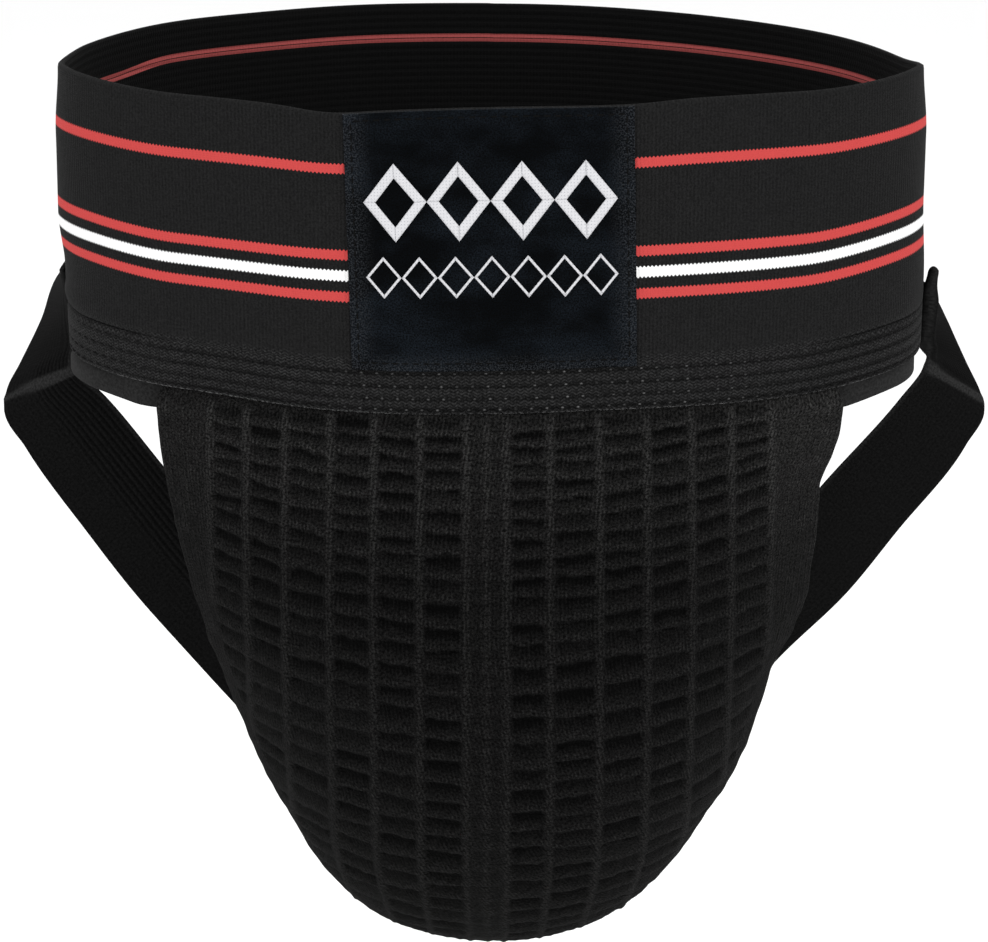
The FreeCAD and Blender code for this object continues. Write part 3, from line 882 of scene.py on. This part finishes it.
def settled_top(grid):
    """Where the pouch is sewn in, it follows the inside of the band instead of its own arc."""
    x = grid[..., 0]
    inset = BAND_THICK + POUCH_THICK / 2 + 0.15 * MM
    sewn = on_band(run_at(x), inset, grid[..., 2])
    share = over(grid[..., 2] + BAND_HEIGHT, -5, 0.5)[..., None]
    return grid * (1 - share) + sewn * share


def fold_places(random, start, end):
    """Depths of one column's folds, unevenly spaced, closer together near the band."""
    places = [start]
    while places[-1] < end:
        pitch = 4.5 + 1.6 * min(1.0, (places[-1] - start) / 60)
        places.append(places[-1] + pitch * random.uniform(0.8, 1.2))
    return np.array(places)


def puckers(random, left, right, wale, course):
    """One column of the knit between two ribs: folds that lap over one another like shingles."""
    share = (wale - left) / (right - left)
    places = fold_places(random, 15.6 + random.uniform(-1.2, 1.2), course.max() + 10)
    index = np.arange(len(places))
    strength = random.uniform(0.55, 1.0, len(places))
    tilt = 0.33 * (left + right) / 130 + random.uniform(-0.16, 0.16, len(places))
    seed = random.integers(1000)
    bent = course + 0.35 * ripple(wale, course, 4.5, seed) + 0.22 * ripple(wale, course, 1.8, seed + 1)
    rough = np.interp(bent, places, index)
    lean = np.interp(rough, index, tilt) * (1 - 0.6 * step_up(course, 20, 100))
    cell = np.clip(rough + lean * (share - 0.5), 0, len(places) - 1.001)
    along = cell % 1
    lap = step_up(along, 0.02, 0.82) * (1 - step_up(along, 0.86, 1.0))
    near_rib = np.minimum(wale - left, right - wale)
    return step_up(near_rib, 0.7, 1.9) * (0.2 - 1.15 * strength[cell.astype(int)] * (1 - lap))


def knit_relief(grid, down, from_edge):
    """The knit's relief in millimetres: upright ribs, puckered cells between them, and fine ribs
    along the side edges."""
    course = down / MM
    wale = grid[..., 0] / MM / (1 - 0.12 * over(-grid[..., 2], 192, 226))
    random = np.random.default_rng(7)
    relief = np.zeros(wale.shape)
    for left, right in zip(RIBS[:-1], RIBS[1:]):
        amount = 0.22 if left < MIDDLE_RIB < right else 1.0
        inside = (wale > left) & (wale < right)
        relief = np.where(inside, amount * puckers(random, left, right, wale, course), relief)
    for rib in RIBS + (MIDDLE_RIB,):
        bead = 0.34 + 0.08 * np.cos(2 * math.pi * course / 1.9)
        relief = relief + bead * hump(wale * MM, rib, 1.0)
    relief = relief * step_up(course, 14.0, 17.0)
    relief = relief + 0.07 * ripple(wale, course, 2.4, 31) + 0.06 * ripple(wale, course, 1.2, 32)
    edge = from_edge / MM
    fine_ribs = 0.07 * np.cos(2 * math.pi * edge / SELVAGE_PITCH) + 0.16 * ripple(wale, course, 2.6, 33)
    outer = step_up(edge, 10.6, 12.8)
    return relief * outer + fine_ribs * (1 - outer)


def blend_pouch(piece):
    """Bakes the piece's transform into its mesh."""
    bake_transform(piece)


def make_pouch():
    """The puckered knit, from its sewn-in top edge to its end on the tab."""
    grid, across, down, from_edge = pouch_grid()
    middle = settled_top(grid)
    relief = knit_relief(grid, down, from_edge) * MM
    free = over(-grid[..., 2] - BAND_HEIGHT, -1, 4)
    relief = relief * (0.15 + 0.85 * free)     # pressed flat where it is sewn in
    pouch = cloth("pouch_knit", middle, across, down, POUCH_THICK, relief, 0.4 * relief, back_skip=(3, 3))
    # painted light: the upper part of the pouch's +X side is painted lighter
    painted_light = over(middle[..., 0], 52, 84) * under(-middle[..., 2], 105, 150)
    store(pouch, "painted_light", np.concatenate([painted_light.ravel(), painted_light[::3, ::3].ravel()]))
    dress(pouch, "pouch_knit", "pouch_knit", "pouch_panel", "pouch_seam_allowance")
    blend_pouch(pouch)


# ---------------- pouch hems
def behind_edge(side, level, from_edge, behind):
    """Points at a depth, a distance in from a side edge and a distance behind the pouch's face."""
    sections = np.array(POUCH_SECTIONS[:10]) * MM
    half, front, edge, lean = (smooth(level, sections[:, 0], sections[:, k]) for k in (1, 2, 3, 4))
    radius, angle = side_arc(half, front - edge)
    turn = angle - from_edge / radius
    x = lean + side * (radius - behind) * np.sin(turn)
    if side > 0:
        x = x + edge_wander(level) * under(from_edge, 0, 30)
    y = radius - front - (radius - behind) * np.cos(turn)
    return np.stack([x, y, -level + 0 * turn], axis=-1)


def make_hem(word, side):
    """Flat elastic along the back of the pouch's side edge, and the thread that sews it on."""
    name = "pouch_hem_" + word
    low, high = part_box(name)
    level = np.linspace(-high.z, -low.z, 110)[None]
    width = spaced(HEM_WIDTH, HEM_THICK / 2, 24)[:, None]
    behind = POUCH_THICK / 2 + 0.5 * MM + HEM_THICK / 2
    behind = behind + 0.2 * MM * ripple(level, 0, 12 * MM, 41)
    middle = behind_edge(side, level, 1.0 * MM + width, behind)
    down = lengths(middle[0])
    order = slice(None, None, -side)
    middle, across = middle[order], width[order]
    ribs = 0.14 * MM * np.cos(2 * math.pi * across / (1.5 * MM))
    hem = cloth("side_elastic_" + word, middle, across, down[None], HEM_THICK, ribs, ribs)
    dress(hem, "side_elastic", "side_elastic", name)
    blend_pouch(hem)

    seam = 4.0 * MM
    points = behind_edge(side, level, seam, behind + HEM_THICK / 2 + 0.3 * MM)[0]
    outs = unit(points - behind_edge(side, level, seam, behind)[0])
    piece = stitch_line("elastic_thread_" + word, points, outs, 3.0, 0.6, THREAD, 0.5)
    dress(piece, "thread", "thread", "hem_stitching_" + word)
    blend_pouch(piece)


# ---------------- leg straps
# Centre of the webbing, then the direction from its front edge to its back edge. Millimetres. Each
# strap bends sharply at its knee, and the two ends turn flat and meet on the tab.
STRAP_STATIONS = {
    "right": [
        ((-112.2, 17.0, -55.0), (4.6, 32.0, 0.0)),
        ((-116.4, 16.2, -62.5), (-6.0, 30.3, -4.0)),
        ((-118.4, 15.0, -72.0), (-10.9, 26.9, -8.0)),
        ((-121.1, 13.9, -82.0), (-18.4, 23.7, -12.0)),
        ((-123.6, 13.2, -88.6), (-22.7, 22.0, -14.5)),
        ((-123.5, 13.4, -91.8), (-24.6, 18.5, -16.4)),
        ((-117.1, 13.0, -101.0), (-25.4, 12.6, -19.9)),
        ((-100.4, 7.2, -121.8), (-24.0, 8.5, -21.6)),
        ((-87.4, 2.8, -137.7), (-23.2, 7.5, -21.0)),
        ((-73.3, -1.5, -153.4), (-21.6, 8.0, -21.0)),
        ((-45.0, -5.5, -184.5), (-22.0, 8.0, -19.0)),
        ((-26.0, -8.6, -208.0), (-15.0, 19.0, -14.0)),
        ((-13.5, -12.0, -224.5), (-5.0, 30.0, -4.0)),
        ((-2.0, -12.5, -228.6), (0.0, 32.0, 0.0)),
    ],
    "left": [
        ((115.4, 17.0, -55.0), (-6.8, 32.0, 0.0)),
        ((118.9, 16.2, -62.0), (3.5, 30.3, -4.0)),
        ((120.95, 15.0, -72.0), (9.75, 27.1, -8.0)),
        ((123.7, 13.6, -82.0), (15.8, 23.2, -12.0)),
        ((126.8, 13.1, -88.4), (19.1, 22.0, -16.5)),
        ((126.9, 13.4, -91.6), (21.3, 20.0, -17.4)),
        ((121.6, 13.5, -101.3), (22.1, 17.0, -18.7)),
        ((102.1, 8.2, -123.9), (21.5, 13.5, -18.2)),
        ((88.5, 4.0, -139.6), (20.2, 12.0, -18.7)),
        ((70.6, -0.2, -155.9), (19.2, 10.5, -17.9)),
        ((43.5, -5.5, -185.0), (20.0, 9.0, -19.0)),
        ((26.0, -8.6, -208.0), (15.0, 19.0, -14.0)),
        ((13.5, -12.0, -224.5), (5.0, 30.0, -4.0)),
        ((2.0, -12.5, -228.6), (0.0, 32.0, 0.0)),
    ],
}
KNEE = 5                            # the first station below the knee
STRAP_RIBS = 17


def strap_path(stations, count):
    """Centres, directions across, distances along the strap, and the distance to its knee."""
    centres = np.array([c for c, _ in stations]) * MM
    widths = unit(np.array([w for _, w in stations], float))
    knots = lengths(centres)
    fine = np.linspace(0, knots[-1], 1500)
    path = lengths(on_curve(fine, knots, centres))
    down = spaced(path[-1], STRAP_THICK / 2, count)
    place = np.interp(down, path, fine)
    centre = on_curve(place, knots, centres)
    wide = unit(on_curve(place, knots, widths))
    knee = float(np.interp((knots[KNEE - 1] + knots[KNEE]) / 2, fine, path))
    return centre, wide, down, knee


def strap_relief(side, width, down, knee):
    """Ribs along the strap, seams near its front edge above the knee, and the ridge of the knee."""
    grooved = 0.34 - 0.28 * over(width, 14, 20) if side < 0 else 0.06 + 0 * width
    ribs = grooved * np.cos(2 * math.pi * STRAP_RIBS * width / STRAP_WIDTH)
    above = under(down - knee, -9, -3)
    seams = sum(hump(width, place, 0.45) for place in (2.6, 5.6))
    broad = (1.9 - 1.1 * width / STRAP_WIDTH) * MM
    ridge = 1 - step_up(np.abs(down - knee), 0.7 * broad, 1.3 * broad)
    return (ribs * (1 - 0.85 * above) - 0.2 * seams * above + 0.7 * ridge) * MM, ridge


def rolled_edge(width):
    """1 on the rolled front edge, 0 on the flat webbing behind it."""
    return under(width, 2.8, 5.5)


def ear_growth(width, down):
    """How much thicker one strap's rolled front edge is than its webbing, down to the knee."""
    return rolled_edge(width) * (1.2 + 1.85 * over(down, 2, 14)) * MM


def strap_surface(side, path, width):
    """The strap's middle surface, from distances across it (one per row) and its path."""
    centre, wide, down, knee = path
    middle = centre[None] + wide[None] * (width - STRAP_WIDTH / 2)[..., None]
    bow = 1.1 * MM * (1 - (2 * width / STRAP_WIDTH - 1) ** 2) * under(down, 2, 12)
    middle[..., 0] += side * bow
    if side > 0:                    # this strap's front corner stands up like an ear
        above = under(down - knee, -8, -3)
        growth = ear_growth(width, down) - 1.3 * MM * rolled_edge(width)
        middle[..., 0] += above * growth / 2
        front = above * under(width, 4, 14)
        middle[..., 0] += front * (0.2 * MM - 0.3 * MM * hump(down, 9, 4))
        middle[..., 2] -= 6.5 * MM * over(width, 2.8, 8) * under(down, 0, 20)
    return middle


def make_strap(word, side):
    """One leg strap, from its bars on the band to the tab, with its ribs, a painted highlight on its
    front edge and knee, and painted shade on the left strap's upper run.
    """
    path = strap_path(STRAP_STATIONS[word], 190)
    down, knee = path[2:]
    width = spaced(STRAP_WIDTH, STRAP_THICK / 2, STRAP_RIBS * 5)[:, None]
    middle = strap_surface(side, path, width)
    relief, ridge = strap_relief(side, width, down[None], knee)
    # painted highlight on the ridge of the knee and along the front edge
    painted_light = np.maximum(ridge, 0.7 * hump(width, 0, 1.2) + 0 * ridge)
    thick = STRAP_THICK + 0 * relief
    if side > 0:
        thick = thick + ear_growth(width, down) * under(down - knee, -8, -3)
        above = under(down - knee, -2.5, -0.8)
        # painted shade on this strap's upper run, above the knee
        painted_light = painted_light - 0.55 * over(width, 4, 9) * above
    order = slice(None, None, -side)
    across = (width if side < 0 else STRAP_WIDTH - width)[order]
    middle, relief, thick = middle[order], relief[order], thick[order]
    strap = cloth("strap_webbing_" + word, middle, across, down[None], thick, relief, 0.5 * relief)
    store(strap, "painted_light", np.tile(painted_light[order].ravel(), 2))
    dress(strap, "strap_webbing", "strap_webbing", "leg_strap_" + word)
    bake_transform(strap)
    make_strap_bars(word, side, path)


def make_strap_bars(word, side, path):
    """Bars of dense stitching that hold the strap's top end to the band."""
    width = np.linspace(5 * MM, STRAP_WIDTH - 4 * MM, 26)[:, None]
    middle = strap_surface(side, path, width)
    outs = side * -grid_normals(middle)
    centres, along, out = [], [], []
    for depth in (3.5 * MM, 9.0 * MM):
        row = int(np.searchsorted(path[2], depth))
        run = unit(middle[:, row + 1] - middle[:, row - 1])
        centres.append(middle[:, row] + outs[:, row] * (STRAP_THICK / 2 + 0.1 * MM))
        along.append(run + path[1][row] * zigzag(len(run))[:, None])
        out.append(outs[:, row])
    centres, along, out = (np.concatenate(rows) for rows in (centres, along, out))
    piece = stitches("strap_bars_" + word, centres, along, out, (2.4, 0.8, 0.5, 0.2))
    dress(piece, "thread", "thread", "strap_bartack_" + word)
    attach(piece, "waistband")


# ---------------- tab under the straps
def make_tab():
    """The tab that joins both straps to the pouch's end, with its three bars of stitching."""
    size = TAB_HIGH - TAB_LOW
    u, v = spread(size.x, size.y, size.z, 36, 40)
    sag = 0.3 * MM * ripple(u, v, 12 * MM, 51)
    level = (TAB_LOW.z + TAB_HIGH.z) / 2 - 0.3 * MM
    middle = np.stack([TAB_LOW.x + u, TAB_HIGH.y - v, level + sag], axis=-1)
    ribs = 0.12 * MM * np.cos(2 * math.pi * u / (1.8 * MM))
    tab = cloth("bottom_tab", middle[::-1], u, v, size.z, ribs, ribs)
    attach(dress(tab, "strap_webbing", "strap_webbing", "bottom_facing"), "pouch")

    count, rows, reach = 30, 3, 13.5 * MM
    lines = TAB_LOW.y + size.y * (np.arange(rows) + 0.5) / rows
    places = np.linspace(-reach, reach, count)
    centres = [(x, y, TAB_LOW.z - 0.35 * MM) for y in lines for x in places]
    along = [(lean, 1.0, 0.0) for lean in zigzag(count)] * rows
    piece = stitches("tab_bars", centres, along, [(0, 0, -1)], (2.4, 0.8, 0.5, 0.3))
    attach(dress(piece, "thread", "thread", "bottom_bartack"), "pouch")


# ---------------- studio
def make_floor():
    reach, level = 6.0, -0.42
    corners = [(x * reach, y * reach, level) for x, y in ((-1, -1), (1, -1), (1, 1), (-1, 1))]
    floor = mesh_piece("floor", corners, [(0, 1, 2, 3)])
    paper = node_material("pale_floor")
    shader = paper.node_tree.nodes["Principled BSDF"]
    shader.inputs["Base Color"].default_value = (0.95, 0.95, 0.95, 1)
    shader.inputs["Roughness"].default_value = 0.9
    floor.data.materials.append(paper)


def make_light(name, place, target, width, height, power):
    data = bpy.data.lights.new(name, "AREA")
    data.shape = "RECTANGLE"
    data.size = width
    data.size_y = height
    data.energy = power
    light = placed(name, data)
    light.location = place
    aim = Vector(target) - Vector(place)
    light.rotation_euler = aim.to_track_quat("-Z", "Y").to_euler()


def make_studio():
    make_floor()
    world = bpy.data.worlds.new("studio")
    world.use_nodes = True
    background = world.node_tree.nodes["Background"]
    background.inputs["Color"].default_value = (1, 1, 1, 1)
    background.inputs["Strength"].default_value = 1.0
    bpy.context.scene.world = world
    middle = (0, 0, -0.1)
    make_light("key", (0.8, -1.3, 1.1), middle, 1.2, 1.2, 10)
    make_light("fill", (-1.3, -1.0, 0.5), middle, 1.2, 1.2, 3)
    make_light("top", (0.0, 0.3, 1.6), middle, 1.6, 1.6, 10)
    bpy.context.scene.view_settings.view_transform = "Standard"


def make_camera():
    data = bpy.data.cameras.new("camera")
    data.sensor_width = 36
    data.lens = 112.2
    camera = placed("camera", data)
    camera.location = (0.00087, -0.7996, 0.1355)
    camera.rotation_euler = (math.radians(90 - 17.14), 0, 0)
    bpy.context.scene.camera = camera


make_camera()
make_studio()
make_band()
make_join()
make_coverstitch()
make_tape()
make_label()
make_label_stitching()
make_motif()
make_pouch()
for word, side in (("right", -1), ("left", 1)):
    make_hem(word, side)
    make_strap(word, side)
make_tab()
